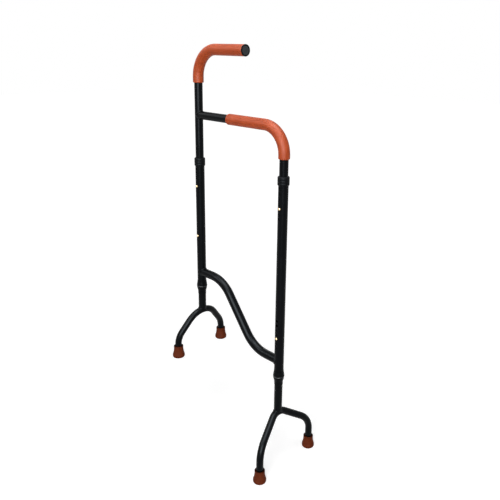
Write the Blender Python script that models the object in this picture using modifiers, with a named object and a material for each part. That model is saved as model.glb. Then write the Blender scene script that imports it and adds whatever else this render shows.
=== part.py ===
"""Stair assist cane: two telescoping uprights on forked feet, one standing a step above the other.

Metres, +Z up. The origin lies midway between the uprights, level with the soles of the lower feet.
+X runs from the upright on the upper step (far) to the one on the lower step (near).
"""

import math

import bmesh
import bpy
from mathutils import Matrix, Vector

# Stance
UPRIGHT_SPACING = 0.315
STEP_RISE = 0.214

# Tubes: an outer tube, and an inner one that slides in it
OUTER_TUBE_OD = 0.0254
OUTER_TUBE_WALL = 0.0012
SLIDING_CLEARANCE = 0.0004
INNER_TUBE_WALL = 0.0012
FORK_TUBE_OD = 0.01905
FORK_TUBE_WALL = 0.0015
BRACE_TUBE_OD = 0.0222
BRACE_TUBE_WALL = 0.0012
WELD_RADIUS = 0.0024
SEAT_GAP = 0.0003

# Forks: arms fall and swing outwards from a bend at the crown, then turn down at the shoulders
FAR_CROWN_HEIGHT = 0.1275
NEAR_CROWN_HEIGHT = 0.146
FAR_HALF_STANCE = 0.082
NEAR_HALF_STANCE = 0.098
FAR_ARM_FALL = math.radians(52)
NEAR_ARM_FALL = math.radians(33)
FAR_ARM_SWING = math.radians(13.5)
NEAR_ARM_SWING = math.radians(20)
FAR_CROWN_BEND = 0.058
NEAR_CROWN_BEND = 0.040
SHOULDER_BEND = 0.058

# Ferrules and the washers in them
FERRULE_HEIGHT = 0.034
FERRULE_BASE_OD = 0.0350
FERRULE_MOUTH_OD = 0.0275
FERRULE_FLOOR = 0.006
FERRULE_EDGE = 0.0018
FERRULE_FLANGE = 0.0065
FLARE_HEIGHTS = (0.0130, 0.0093)
FLARE_SHARES = (0.3, 0.8)
WASHER_THICKNESS = 0.0012
WASHER_CLEARANCE = 0.0004
WASHER_HOLE = 0.008

# Legs: how much of each shows between its fork and its outer tube
LEG_TUBE_ABOVE_BUTTON = 0.035
FAR_LEG_BUTTON_HEIGHT = 0.2345
NEAR_LEG_BUTTON_HEIGHT = 0.2255
FAR_LEG_SHOWN = 0.076
NEAR_LEG_SHOWN = 0.110
COLLAR_ABOVE_SEAM = 0.020
COLLAR_BELOW_SEAM = 0.022
LOWER_COLLAR_OD = 0.0300
COLLAR_END_WALL = 0.0009
COLLAR_TAPER_HEIGHTS = (0.0090, -0.0045, -0.0105, -0.0172)
COLLAR_TAPER_SHARES = (0.25, 0.0, 0.25, 0.75)
SEAM_WIDTH = 0.0010
SEAM_DEPTH = 0.0006

# Upper collars and the handles above them
COLLAR_TOP_HEIGHT = 0.801
UPPER_COLLAR_HEIGHT = 0.0225
UPPER_COLLAR_OD = 0.0298
COLLAR_LIP = 0.0015
COLLAR_EDGE = 0.0012
BAR_ABOVE_COLLARS = 0.116
HANDLE_ABOVE_BAR = 0.170
HANDLE_LENGTH = 0.1817
HANDLE_BEND = 0.070
BAR_BEND = 0.066
HANDLE_TUBE_BELOW_BUTTON = 0.043

# Grips and the end cap
GRIP_OD = 0.0286
UPPER_GRIP_DROP = 0.085
LOWER_GRIP_START = 0.121
LOWER_GRIP_DROP = 0.075
CAP_OD = 0.0290
CAP_FLANGE = 0.0022
CAP_EDGE = 0.0010
CAP_PLUG = 0.014

# Brace between the uprights: how far its welds clear the lower collars
BRACE_ABOVE_COLLAR = 0.013
BRACE_SLOPE = math.radians(52)
BRACE_BEND = 0.090

# Height adjustment
HOLE_PITCH = 0.0127
HOLE_COUNT = 7
ROW_BELOW_COLLAR = 0.0067
HANDLE_HOLES_ABOVE = 4
FAR_LEG_HOLES_ABOVE = 2
NEAR_LEG_HOLES_ABOVE = 4
BUTTON_OD = 0.0064
BUTTON_PROUD = 0.0025
BUTTON_DOME = 0.0016
DOME_SHARES = ((0.45, 0.12), (0.82, 0.45))
BUTTON_HOLE_CLEARANCE = 0.0003
TUBE_HOLE_CLEARANCE = 0.0006
BUTTON_HEAD_OD = 0.0080
BUTTON_HEAD_THICKNESS = 0.0008
BUTTON_HEAD_CLEARANCE = 0.0003

# Spring clip behind each button
CLIP_WIDTH = 0.0060
CLIP_THICKNESS = 0.0008
CLIP_STRAIGHT = 0.024
CLIP_FRONT_TAIL = 0.0045
CLIP_BACK_TAIL = 0.0020

# Facets
TUBE_SIDES = 20
FORK_SIDES = 16
GRIP_SIDES = 18
TURNED_STEPS = 20
SMALL_STEPS = 14
HOLE_SIDES = 10
WELD_SIDES = 6
WELD_POINTS = 18
FOLD_STEPS = 8
BEND_STEP = math.radians(14)
OVERRUN = 0.004
SMOOTH_BELOW = math.radians(35)

# Worked out from the sizes above
OUTER_TUBE_R = OUTER_TUBE_OD / 2
OUTER_BORE_R = OUTER_TUBE_R - OUTER_TUBE_WALL
INNER_TUBE_R = OUTER_BORE_R - SLIDING_CLEARANCE
INNER_BORE_R = INNER_TUBE_R - INNER_TUBE_WALL
FORK_TUBE_R = FORK_TUBE_OD / 2
BRACE_TUBE_R = BRACE_TUBE_OD / 2
GRIP_BORE_R = INNER_TUBE_R + SEAT_GAP
FAR_CROWN_Z = STEP_RISE + FAR_CROWN_HEIGHT
NEAR_CROWN_Z = NEAR_CROWN_HEIGHT
FAR_SEAM_Z = FAR_CROWN_Z + FAR_LEG_SHOWN
NEAR_SEAM_Z = NEAR_CROWN_Z + NEAR_LEG_SHOWN
BRACE_ABOVE_SEAM = COLLAR_ABOVE_SEAM + BRACE_ABOVE_COLLAR + WELD_RADIUS + BRACE_TUBE_R
FAR_BRACE_Z = FAR_SEAM_Z + BRACE_ABOVE_SEAM
NEAR_BRACE_Z = NEAR_SEAM_Z + BRACE_ABOVE_SEAM
OUTER_TOP_Z = COLLAR_TOP_HEIGHT - COLLAR_LIP - SEAT_GAP
BAR_Z = COLLAR_TOP_HEIGHT + BAR_ABOVE_COLLARS
HANDLE_Z = BAR_Z + HANDLE_ABOVE_BAR
TOP_HOLE_Z = COLLAR_TOP_HEIGHT - UPPER_COLLAR_HEIGHT - ROW_BELOW_COLLAR
HANDLE_BUTTON_Z = TOP_HOLE_Z - HANDLE_HOLES_ABOVE * HOLE_PITCH
HANDLE_TUBE_END_Z = HANDLE_BUTTON_Z - HANDLE_TUBE_BELOW_BUTTON
FAR_BUTTON_Z = FAR_CROWN_Z + FAR_LEG_BUTTON_HEIGHT
NEAR_BUTTON_Z = NEAR_CROWN_Z + NEAR_LEG_BUTTON_HEIGHT
BUTTON_R = BUTTON_OD / 2
BUTTON_TIP = OUTER_TUBE_R + BUTTON_PROUD
FERRULE_BORE_R = FORK_TUBE_R + SEAT_GAP
WASHER_R = FERRULE_BORE_R - WASHER_CLEARANCE
WASHER_Z = FERRULE_FLOOR + SEAT_GAP
FORK_END_Z = WASHER_Z + WASHER_THICKNESS + SEAT_GAP


def arm_corners(fall, swing, half_stance, crown_bend):
    """Where both arms' straight lines would meet, and one arm's shoulder, both measured from the crown."""
    arm = Vector((math.tan(swing), 1, -math.tan(fall)))
    down = Vector((arm.x, 0, arm.z)).normalized()
    meeting = -down * crown_bend * (arm.length - 1)
    return meeting, meeting + arm * half_stance


FAR_CORNERS = arm_corners(FAR_ARM_FALL, -FAR_ARM_SWING, FAR_HALF_STANCE, FAR_CROWN_BEND)
NEAR_CORNERS = arm_corners(NEAR_ARM_FALL, NEAR_ARM_SWING, NEAR_HALF_STANCE, NEAR_CROWN_BEND)
MIDDLE_X = -(FAR_CORNERS[1].x + NEAR_CORNERS[1].x) / 2
FAR_X = MIDDLE_X - UPRIGHT_SPACING / 2
NEAR_X = MIDDLE_X + UPRIGHT_SPACING / 2

for old in list(bpy.data.objects):
    bpy.data.objects.remove(old, do_unlink=True)

parts = bpy.data.collections.new("stair_assist_cane")
helpers = bpy.data.collections.new("cutters_and_joiners")
bpy.context.scene.collection.children.link(parts)
bpy.context.scene.collection.children.link(helpers)


def material(name, colour, roughness, metallic):
    made = bpy.data.materials.new(name)
    made.use_nodes = True
    shader = made.node_tree.nodes["Principled BSDF"]
    shader.inputs["Base Color"].default_value = (*colour, 1)
    shader.inputs["Roughness"].default_value = roughness
    shader.inputs["Metallic"].default_value = metallic
    return made


LOOKS = {
    "black_paint": ((0.012, 0.013, 0.015), 0.35, 0.0),
    "black_plastic": ((0.02, 0.02, 0.022), 0.5, 0.0),
    "orange_foam": ((0.58, 0.115, 0.053), 0.8, 0.0),
    "brown_rubber": ((0.14, 0.022, 0.008), 0.75, 0.0),
    "bright_steel": ((0.6, 0.6, 0.6), 0.3, 1.0),
}


def finish(obj, look):
    """Each sub-part has its own material, smooth over its round faces."""
    obj.data.materials.clear()
    obj.data.materials.append(material(f"{look}_{obj.name}", *LOOKS[look]))
    obj.data.shade_smooth()
    obj.data.set_sharp_from_angle(angle=SMOOTH_BELOW)
    return obj


def set_on(obj, body):
    """Hangs an object on a body's empty, and leaves it where it is."""
    place = obj.location.copy()
    obj.parent = body
    obj.location = place - body.location
    return obj


def body_empty(name, place):
    empty = bpy.data.objects.new(name, None)
    empty.location = place
    empty.empty_display_size = UPRIGHT_SPACING / 10
    parts.objects.link(empty)
    return empty


def helper(obj):
    """A cutter or a joiner takes no part in the render."""
    obj.hide_render = True
    obj.display_type = "WIRE"
    for owner in list(obj.users_collection):
        owner.objects.unlink(obj)
    helpers.objects.link(obj)
    return obj


def boolean(obj, other, operation):
    step = obj.modifiers.new(f"{operation.lower()}_{other.name}", "BOOLEAN")
    step.operation = operation
    step.object = helper(other)
    return obj


def cut(obj, other):
    return boolean(obj, other, "DIFFERENCE")


def join(obj, other):
    return boolean(obj, other, "UNION")


def from_bmesh(name, bm, place=(0, 0, 0)):
    mesh = bpy.data.meshes.new(name)
    bm.to_mesh(mesh)
    bm.free()
    obj = bpy.data.objects.new(name, mesh)
    obj.location = place
    parts.objects.link(obj)
    return obj


def cylinder(name, radius, low, high, place=(0, 0, 0), axis="Z", sides=TUBE_SIDES):
    """A cylinder from low to high along an axis through its place."""
    bm = bmesh.new()
    bmesh.ops.create_cone(
        bm,
        cap_ends=True,
        segments=sides,
        radius1=radius,
        radius2=radius,
        depth=high - low,
        matrix=Matrix.Translation((0, 0, (high + low) / 2)),
    )
    if axis == "Y":
        bmesh.ops.rotate(bm, verts=bm.verts, matrix=Matrix.Rotation(math.radians(-90), 3, "X"))
    return from_bmesh(name, bm, place)


def turned(name, profile, place=(0, 0, 0), steps=TURNED_STEPS):
    """A closed profile of (radius, height) turned about Z: it runs down its outer side."""
    bm = bmesh.new()
    verts = [bm.verts.new((radius, 0, height)) for radius, height in profile]
    touches_axis = profile[0][0] == 0 and profile[-1][0] == 0
    for first, second in zip(verts, verts[1:]):
        bm.edges.new((first, second))
    if not touches_axis:
        bm.edges.new((verts[-1], verts[0]))
    obj = from_bmesh(name, bm, place)
    screw = obj.modifiers.new("turn", "SCREW")
    screw.steps = steps
    screw.render_steps = steps
    screw.use_merge_vertices = True
    screw.merge_threshold = 0.00001
    return obj


def rounded_path(corners, *bends):
    """Straight runs through the corners, joined by an arc of its own bend radius at each."""
    corners = [Vector(corner) for corner in corners]
    path = [corners[0]]
    for before, corner, after, bend in zip(corners, corners[1:], corners[2:], bends):
        back = (before - corner).normalized()
        ahead = (after - corner).normalized()
        turn = math.pi - back.angle(ahead)
        reach = bend * math.tan(turn / 2)
        centre = corner + (back + ahead).normalized() * (bend / math.cos(turn / 2))
        start = corner + back * reach - centre
        normal = start.cross(corner + ahead * reach - centre).normalized()
        count = max(2, round(turn / BEND_STEP))
        for index in range(count + 1):
            path.append(centre + Matrix.Rotation(turn * index / count, 3, normal) @ start)
    path.append(corners[-1])
    return path


def longer(path, reach=OVERRUN):
    """The same path, run on straight past both ends."""
    start = path[0] + (path[0] - path[1]).normalized() * reach
    end = path[-1] + (path[-1] - path[-2]).normalized() * reach
    return [start, *path, end]


def sweep(name, path, radius, sides=TUBE_SIDES, closed=False):
    """A round bar along a path, made as a curve and turned into a mesh."""
    curve = bpy.data.curves.new(name, "CURVE")
    curve.dimensions = "3D"
    curve.bevel_depth = radius
    curve.bevel_resolution = (sides - 4) // 2
    curve.use_fill_caps = not closed
    spline = curve.splines.new("POLY")
    spline.points.add(len(path) - 1)
    for point, place in zip(spline.points, path):
        point.co = (*place, 1)
    spline.use_cyclic_u = closed
    guide = bpy.data.objects.new(name + "_path", curve)
    parts.objects.link(guide)
    bpy.context.view_layer.update()
    graph = bpy.context.evaluated_depsgraph_get()
    mesh = bpy.data.meshes.new_from_object(guide.evaluated_get(graph))
    bm = bmesh.new()
    bm.from_mesh(mesh)
    bmesh.ops.remove_doubles(bm, verts=bm.verts, dist=0.000001)
    bmesh.ops.recalc_face_normals(bm, faces=bm.faces)
    bm.to_mesh(mesh)
    bm.free()
    obj = bpy.data.objects.new(name, mesh)
    obj.matrix_world = guide.matrix_world
    parts.objects.link(obj)
    bpy.data.objects.remove(guide, do_unlink=True)
    return obj


def bent_tube(name, path, radius, bore, origin, sides=TUBE_SIDES):
    """A hollow tube along a path, open at both ends, with its origin where its body has it."""
    origin = Vector(origin)
    tube = sweep(name, [point - origin for point in path], radius, sides)
    tube.location = origin
    inside = sweep(name + "_bore", [point - origin for point in longer(path)], bore, sides)
    inside.location = origin
    return cut(tube, inside)


def straight_tube(name, radius, bore, low, high, x):
    """An upright hollow tube between two heights."""
    tube = cylinder(name, radius, 0, high - low, (x, 0, low))
    inside = cylinder(name + "_bore", bore, -OVERRUN, high - low + OVERRUN, (x, 0, low))
    return cut(tube, inside)


def hole_in_front(obj, name, radius, x, z):
    """A round hole through the front wall alone."""
    depth = OUTER_TUBE_R + OVERRUN
    return cut(obj, cylinder(name, radius, 0, depth, (x, -depth, z), "Y", HOLE_SIDES))


def hole_row(obj, name, x, button_z, above):
    """The row of adjusting holes, with the button's own hole among them."""
    for index in range(HOLE_COUNT):
        z = button_z + (above - index) * HOLE_PITCH
        radius = BUTTON_R + TUBE_HOLE_CLEARANCE
        hole_in_front(obj, f"{name}_{index + 1}", radius, x, z)


def weld_ring(name, side_radius, across_radius, place, point_at):
    """The bead where a tube of side_radius meets another of across_radius, square to it."""
    path = []
    for index in range(WELD_POINTS):
        angle = 2 * math.pi * index / WELD_POINTS
        along = side_radius * math.cos(angle)
        off = side_radius * math.sin(angle)
        height = math.sqrt(max(0, across_radius**2 - off**2))
        path.append(Vector(place) + point_at(along, off, height))
    return sweep(name, path, WELD_RADIUS, WELD_SIDES, closed=True)


def upright_tube(side, x, seam_z, button_z, above):
    """An outer tube, with a row of holes for its handle and one for its leg."""
    tube = straight_tube(f"{side}_outer_tube", OUTER_TUBE_R, OUTER_BORE_R, seam_z, OUTER_TOP_Z, x)
    hole_row(tube, f"{side}_handle_hole", x, HANDLE_BUTTON_Z, HANDLE_HOLES_ABOVE)
    hole_row(tube, f"{side}_leg_hole", x, button_z, above)
    return finish(tube, "black_paint")


def brace():
    """An S of one tube, coped and welded to both outer tubes."""
    high = FAR_BRACE_Z
    low = NEAR_BRACE_Z
    corner = (high - low) / 2 / math.tan(BRACE_SLOPE)
    corners = [
        (FAR_X, 0, high),
        (MIDDLE_X - corner, 0, high),
        (MIDDLE_X + corner, 0, low),
        (NEAR_X, 0, low),
    ]
    path = rounded_path(corners, BRACE_BEND, BRACE_BEND)
    bore = BRACE_TUBE_R - BRACE_TUBE_WALL
    tube = bent_tube("s_brace", path, BRACE_TUBE_R, bore, (MIDDLE_X, 0, (high + low) / 2))
    for side, x, z, inward in (("far", FAR_X, high, 1), ("near", NEAR_X, low, -1)):
        bead = weld_ring(
            f"{side}_brace_weld",
            BRACE_TUBE_R,
            OUTER_TUBE_R,
            (x, 0, z),
            lambda along, off, height: Vector((inward * height, off, along)),
        )
        join(tube, bead)
    for side, x, z in (("far", FAR_X, high), ("near", NEAR_X, low)):
        reach = BRACE_TUBE_OD
        cope = cylinder(f"{side}_brace_cope", OUTER_TUBE_R + SEAT_GAP, z - reach, z + reach, (x, 0, 0))
        cut(tube, cope)
    return finish(tube, "black_paint")


def upper_collar(side, x):
    """A collar over the outer tube's top, with a lip in over its end."""
    outer = UPPER_COLLAR_OD / 2
    lip = INNER_TUBE_R + SLIDING_CLEARANCE
    bore = OUTER_TUBE_R + SEAT_GAP
    top = UPPER_COLLAR_HEIGHT
    profile = [
        (outer - COLLAR_EDGE, top),
        (outer, top - COLLAR_EDGE),
        (outer, COLLAR_EDGE),
        (outer - COLLAR_EDGE, 0),
        (bore, 0),
        (bore, top - COLLAR_LIP),
        (lip, top - COLLAR_LIP),
        (lip, top),
    ]
    return finish(turned(f"{side}_upper_collar", profile, (x, 0, COLLAR_TOP_HEIGHT - top)), "black_plastic")


def lower_collar(side, x, seam_z):
    """A barrel round the outer tube's end and the leg below it, widest at its seam and slim at both ends."""
    outer = LOWER_COLLAR_OD / 2
    top = COLLAR_ABOVE_SEAM
    bottom = -COLLAR_BELOW_SEAM
    bore = OUTER_TUBE_R + SEAT_GAP
    guide = INNER_TUBE_R + SLIDING_CLEARANCE
    upper_end = bore + COLLAR_END_WALL
    lower_end = guide + COLLAR_END_WALL
    seam = SEAM_WIDTH / 2
    tapers = []
    for height, share in zip(COLLAR_TAPER_HEIGHTS, COLLAR_TAPER_SHARES):
        end = upper_end if height > 0 else lower_end
        tapers.append((outer - (outer - end) * share, height))
    profile = [
        (upper_end, top),
        tapers[0],
        (outer, seam),
        (outer - SEAM_DEPTH, seam),
        (outer - SEAM_DEPTH, -seam),
        (outer, -seam),
        *tapers[1:],
        (lower_end, bottom),
        (guide, bottom),
        (guide, -SEAT_GAP),
        (bore, -SEAT_GAP),
        (bore, top),
    ]
    return finish(turned(f"{side}_lower_collar", profile, (x, 0, seam_z)), "black_plastic")


def button_hole(tube, side, x, z):
    return hole_in_front(tube, f"{side}_button_hole", BUTTON_R + BUTTON_HOLE_CLEARANCE, x, z)


def far_handle():
    """The far handle's tube: up out of its collar, round a bend and out level."""
    end = FAR_X + HANDLE_LENGTH - CAP_FLANGE - SEAT_GAP
    corners = [(FAR_X, 0, HANDLE_TUBE_END_Z), (FAR_X, 0, HANDLE_Z), (end, 0, HANDLE_Z)]
    path = rounded_path(corners, HANDLE_BEND)
    origin = (FAR_X, 0, HANDLE_BUTTON_Z)
    tube = bent_tube("far_handle_tube", path, INNER_TUBE_R, INNER_BORE_R, origin)
    button_hole(tube, "far_handle", FAR_X, HANDLE_BUTTON_Z)
    return finish(tube, "black_paint")


def front_handle():
    """The level bar from the far handle, bent down into the near upright."""
    corners = [(FAR_X, 0, BAR_Z), (NEAR_X, 0, BAR_Z), (NEAR_X, 0, HANDLE_TUBE_END_Z)]
    path = rounded_path(corners, BAR_BEND)
    origin = (NEAR_X, 0, HANDLE_BUTTON_Z)
    tube = bent_tube("front_handle_tube", path, INNER_TUBE_R, INNER_BORE_R, origin)
    bead = weld_ring(
        "bar_weld",
        INNER_TUBE_R,
        INNER_TUBE_R,
        (FAR_X, 0, BAR_Z),
        lambda along, off, height: Vector((height, off, along)),
    )
    join(tube, bead)
    reach = INNER_TUBE_R * 2
    cope = cylinder("bar_cope", INNER_TUBE_R + SEAT_GAP, BAR_Z - reach, BAR_Z + reach, (FAR_X, 0, 0))
    cut(tube, cope)
    button_hole(tube, "near_handle", NEAR_X, HANDLE_BUTTON_Z)
    return finish(tube, "black_paint")


def grips():
    """The two foam sleeves, each round its own bend."""
    end = FAR_X + HANDLE_LENGTH - CAP_FLANGE - SEAT_GAP
    upper = [(FAR_X, 0, HANDLE_Z - UPPER_GRIP_DROP), (FAR_X, 0, HANDLE_Z), (end, 0, HANDLE_Z)]
    start = FAR_X + LOWER_GRIP_START
    lower = [(start, 0, BAR_Z), (NEAR_X, 0, BAR_Z), (NEAR_X, 0, BAR_Z - LOWER_GRIP_DROP)]
    made = []
    for name, corners, bend, x in (
        ("upper_grip", upper, HANDLE_BEND, FAR_X),
        ("lower_grip", lower, BAR_BEND, NEAR_X),
    ):
        path = rounded_path(corners, bend)
        origin = (x, 0, HANDLE_BUTTON_Z)
        grip = bent_tube(name, path, GRIP_OD / 2, GRIP_BORE_R, origin, GRIP_SIDES)
        made.append(finish(grip, "orange_foam"))
    return made


def end_cap():
    """A flanged plug in the far handle's open end."""
    outer = CAP_OD / 2
    plug = INNER_BORE_R - SEAT_GAP
    profile = [
        (0, CAP_FLANGE),
        (outer - 2 * CAP_EDGE, CAP_FLANGE),
        (outer, CAP_FLANGE - CAP_EDGE),
        (outer, CAP_EDGE / 2),
        (outer - CAP_EDGE / 2, 0),
        (plug, 0),
        (plug, CAP_EDGE - CAP_PLUG),
        (plug - CAP_EDGE, -CAP_PLUG),
        (0, -CAP_PLUG),
    ]
    cap = turned("handle_end_cap", profile, (FAR_X + HANDLE_LENGTH - CAP_FLANGE, 0, HANDLE_Z))
    cap.rotation_euler = (0, math.radians(90), 0)
    return finish(cap, "black_plastic")


def fork_path(x, sole_z, crown_z, meeting, shoulder, crown_bend):
    """From one foot up over the crown to the other."""
    crown = Vector((x, 0, crown_z))
    right = crown + shoulder
    left = Vector((right.x, -right.y, right.z))
    ends = [Vector((corner.x, corner.y, sole_z + FORK_END_Z)) for corner in (left, right)]
    corners = [ends[0], left, crown + meeting, right, ends[1]]
    return rounded_path(corners, SHOULDER_BEND, crown_bend, SHOULDER_BEND)


def fork(side, path, x, crown_z):
    """One bent tube, with an arm to each foot."""
    bore = FORK_TUBE_R - FORK_TUBE_WALL
    tube = bent_tube(f"{side}_fork", path, FORK_TUBE_R, bore, (x, 0, crown_z), FORK_SIDES)
    return finish(tube, "black_paint")


def leg_tube(side, path, x, crown_z, crown_bend, button_z):
    """A leg's tube, coped over its fork's crown and welded there, with a hole for its button."""
    top = button_z + LEG_TUBE_ABOVE_BUTTON - crown_z
    tube = cylinder(f"{side}_leg_tube", INNER_TUBE_R, 0, top, (x, 0, crown_z))

    def on_crown(along, off, height):
        """The bead lies on the fork, which curves down on both sides of the crown."""
        sag = crown_bend - math.sqrt(crown_bend**2 - along**2)
        return Vector((off, along, height - sag))

    join(tube, weld_ring(f"{side}_fork_weld", INNER_TUBE_R, FORK_TUBE_R, (x, 0, crown_z), on_crown))
    inside = cylinder(f"{side}_leg_bore", INNER_BORE_R, -FORK_TUBE_R, top + OVERRUN, (x, 0, crown_z))
    cut(tube, inside)
    cut(tube, sweep(f"{side}_fork_cope", path, FORK_TUBE_R + SEAT_GAP, FORK_SIDES))
    button_hole(tube, f"{side}_leg", x, button_z)
    return finish(tube, "black_paint")


def ferrule(name, place):
    """A rubber foot: a tapered cup, flared and rounded at its sole."""
    base = FERRULE_BASE_OD / 2
    mouth = FERRULE_MOUTH_OD / 2
    profile = [
        (mouth - FERRULE_EDGE / 2, FERRULE_HEIGHT),
        (mouth, FERRULE_HEIGHT - FERRULE_EDGE / 2),
        *[(mouth + (base - mouth) * share, height) for share, height in zip(FLARE_SHARES, FLARE_HEIGHTS)],
        (base, FERRULE_FLANGE),
        (base, FERRULE_EDGE),
        (base - FERRULE_EDGE, 0),
        (0, 0),
        (0, FERRULE_FLOOR),
        (FERRULE_BORE_R, FERRULE_FLOOR),
        (FERRULE_BORE_R, FERRULE_HEIGHT),
    ]
    return finish(turned(name, profile, place), "brown_rubber")


def washer(name, place):
    """The steel washer between a fork's end and the floor of its ferrule."""
    profile = [
        (WASHER_R, WASHER_THICKNESS),
        (WASHER_R, 0),
        (WASHER_HOLE / 2, 0),
        (WASHER_HOLE / 2, WASHER_THICKNESS),
    ]
    return finish(turned(name, profile, place, SMALL_STEPS), "bright_steel")


def head_face():
    """How far in front of the tube's axis the button's head lies, clear of the bore's wall."""
    wall = INNER_BORE_R * math.cos(math.pi / TUBE_SIDES)
    return math.sqrt(wall**2 - (BUTTON_HEAD_OD / 2) ** 2) - BUTTON_HEAD_CLEARANCE


def button(name, x, z):
    """A domed pin with a head inside the tube. Its origin is on the tube's axis, and it presses along +Y."""
    face = head_face()
    profile = [
        (0, BUTTON_TIP),
        *[(BUTTON_R * across, BUTTON_TIP - BUTTON_DOME * down) for across, down in DOME_SHARES],
        (BUTTON_R, BUTTON_TIP - BUTTON_DOME),
        (BUTTON_R, face),
        (BUTTON_HEAD_OD / 2, face),
        (BUTTON_HEAD_OD / 2, face - BUTTON_HEAD_THICKNESS),
        (0, face - BUTTON_HEAD_THICKNESS),
    ]
    pin = turned(name, profile, (x, 0, z), SMALL_STEPS)
    pin.rotation_euler = (math.radians(90), 0, 0)
    return finish(pin, "bright_steel")


def clip(name, x, z, bend_up):
    """A folded leaf spring: one leg behind the button's head, the other against the tube's back wall."""
    wall = INNER_BORE_R * math.cos(math.pi / TUBE_SIDES)
    back = math.sqrt((wall - SEAT_GAP) ** 2 - (CLIP_WIDTH / 2) ** 2)
    front = BUTTON_HEAD_THICKNESS + SEAT_GAP - head_face()
    radius = (back - front) / 2
    middle = (back + front) / 2
    path = [(front, -CLIP_FRONT_TAIL)]
    for index in range(FOLD_STEPS + 1):
        angle = math.pi * index / FOLD_STEPS
        path.append((middle - radius * math.cos(angle), CLIP_STRAIGHT + radius * math.sin(angle)))
    path.append((back, CLIP_BACK_TAIL))
    bm = bmesh.new()
    verts = [bm.verts.new((-CLIP_WIDTH / 2, y, height * bend_up)) for y, height in path]
    edges = [bm.edges.new(pair) for pair in zip(verts, verts[1:])]
    swept = bmesh.ops.extrude_edge_only(bm, edges=edges)
    moved = [item for item in swept["geom"] if isinstance(item, bmesh.types.BMVert)]
    bmesh.ops.translate(bm, verts=moved, vec=(CLIP_WIDTH, 0, 0))
    bmesh.ops.recalc_face_normals(bm, faces=bm.faces)
    foremost = min(bm.faces, key=lambda face: face.calc_center_median().y)
    foremost.normal_update()
    if foremost.normal.y > 0:
        bmesh.ops.reverse_faces(bm, faces=bm.faces)
    leaf = from_bmesh(name, bm, (x, 0, z))
    thick = leaf.modifiers.new("leaf", "SOLIDIFY")
    thick.thickness = CLIP_THICKNESS
    thick.offset = -1
    return finish(leaf, "bright_steel")


frame = body_empty("lower_frame", (0, 0, 0))
handles = body_empty("handle_frame", (FAR_X, 0, HANDLE_BUTTON_Z))
far_leg = body_empty("far_leg", (FAR_X, 0, FAR_CROWN_Z))
near_leg = body_empty("near_leg", (NEAR_X, 0, NEAR_CROWN_Z))

set_on(upright_tube("far", FAR_X, FAR_SEAM_Z, FAR_BUTTON_Z, FAR_LEG_HOLES_ABOVE), frame)
set_on(upright_tube("near", NEAR_X, NEAR_SEAM_Z, NEAR_BUTTON_Z, NEAR_LEG_HOLES_ABOVE), frame)
set_on(brace(), frame)
for side, x, seam_z in (("far", FAR_X, FAR_SEAM_Z), ("near", NEAR_X, NEAR_SEAM_Z)):
    set_on(upper_collar(side, x), frame)
    set_on(lower_collar(side, x, seam_z), frame)

for piece in (far_handle(), front_handle(), *grips(), end_cap()):
    set_on(piece, handles)
for side, x in (("far", FAR_X), ("near", NEAR_X)):
    set_on(button(f"{side}_handle_button", x, HANDLE_BUTTON_Z), handles)
    set_on(clip(f"{side}_handle_clip", x, HANDLE_BUTTON_Z, 1), handles)

for side, x, sole_z, crown_z, corners, crown_bend, button_z, leg in (
    ("far", FAR_X, STEP_RISE, FAR_CROWN_Z, FAR_CORNERS, FAR_CROWN_BEND, FAR_BUTTON_Z, far_leg),
    ("near", NEAR_X, 0, NEAR_CROWN_Z, NEAR_CORNERS, NEAR_CROWN_BEND, NEAR_BUTTON_Z, near_leg),
):
    shoulder = corners[1]
    path = fork_path(x, sole_z, crown_z, *corners, crown_bend)
    set_on(leg_tube(side, path, x, crown_z, crown_bend, button_z), leg)
    set_on(fork(side, path, x, crown_z), leg)
    set_on(button(f"{side}_leg_button", x, button_z), leg)
    set_on(clip(f"{side}_leg_clip", x, button_z, -1), leg)
    for hand, turn in (("left", -1), ("right", 1)):
        foot = Vector((x + shoulder.x, turn * shoulder.y, sole_z))
        set_on(ferrule(f"{side}_{hand}_ferrule", foot), leg)
        set_on(washer(f"{side}_{hand}_washer", foot + Vector((0, 0, WASHER_Z))), leg)
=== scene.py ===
import math

import bmesh
import bpy
from mathutils import Matrix, Vector


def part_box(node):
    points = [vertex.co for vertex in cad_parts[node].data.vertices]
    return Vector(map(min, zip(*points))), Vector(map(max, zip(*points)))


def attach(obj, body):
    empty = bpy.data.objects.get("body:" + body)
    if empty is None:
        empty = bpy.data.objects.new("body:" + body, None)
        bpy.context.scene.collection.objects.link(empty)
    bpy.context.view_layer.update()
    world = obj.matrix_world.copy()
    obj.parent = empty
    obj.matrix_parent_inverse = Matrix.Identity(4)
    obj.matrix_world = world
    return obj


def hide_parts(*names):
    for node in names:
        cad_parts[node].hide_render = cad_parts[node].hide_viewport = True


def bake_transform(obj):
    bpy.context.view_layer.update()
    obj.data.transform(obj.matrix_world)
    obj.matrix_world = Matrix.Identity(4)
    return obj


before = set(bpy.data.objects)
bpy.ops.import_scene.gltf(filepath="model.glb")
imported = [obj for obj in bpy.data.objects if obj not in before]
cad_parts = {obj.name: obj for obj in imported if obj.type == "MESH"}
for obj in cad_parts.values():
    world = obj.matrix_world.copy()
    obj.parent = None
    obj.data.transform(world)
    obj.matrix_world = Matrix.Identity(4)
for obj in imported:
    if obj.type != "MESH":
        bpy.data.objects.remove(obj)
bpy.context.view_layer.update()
print("frame loaded:", len(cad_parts), "nodes")

# the photograph's camera: where it stands (m), how it is turned (degrees), its lens and its sensor (mm)
shot = {"place": (1.0272, -0.9615, 1.0881), "yaw": 42.6, "down": 16.5, "roll": 1.39,
        "lens": 40.1, "sensor": 36, "shift": (-0.0621, -0.0686), "sees": (0.05, 50)}


def rotation(degrees, axis):
    return Matrix.Rotation(math.radians(degrees), 4, axis)


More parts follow.
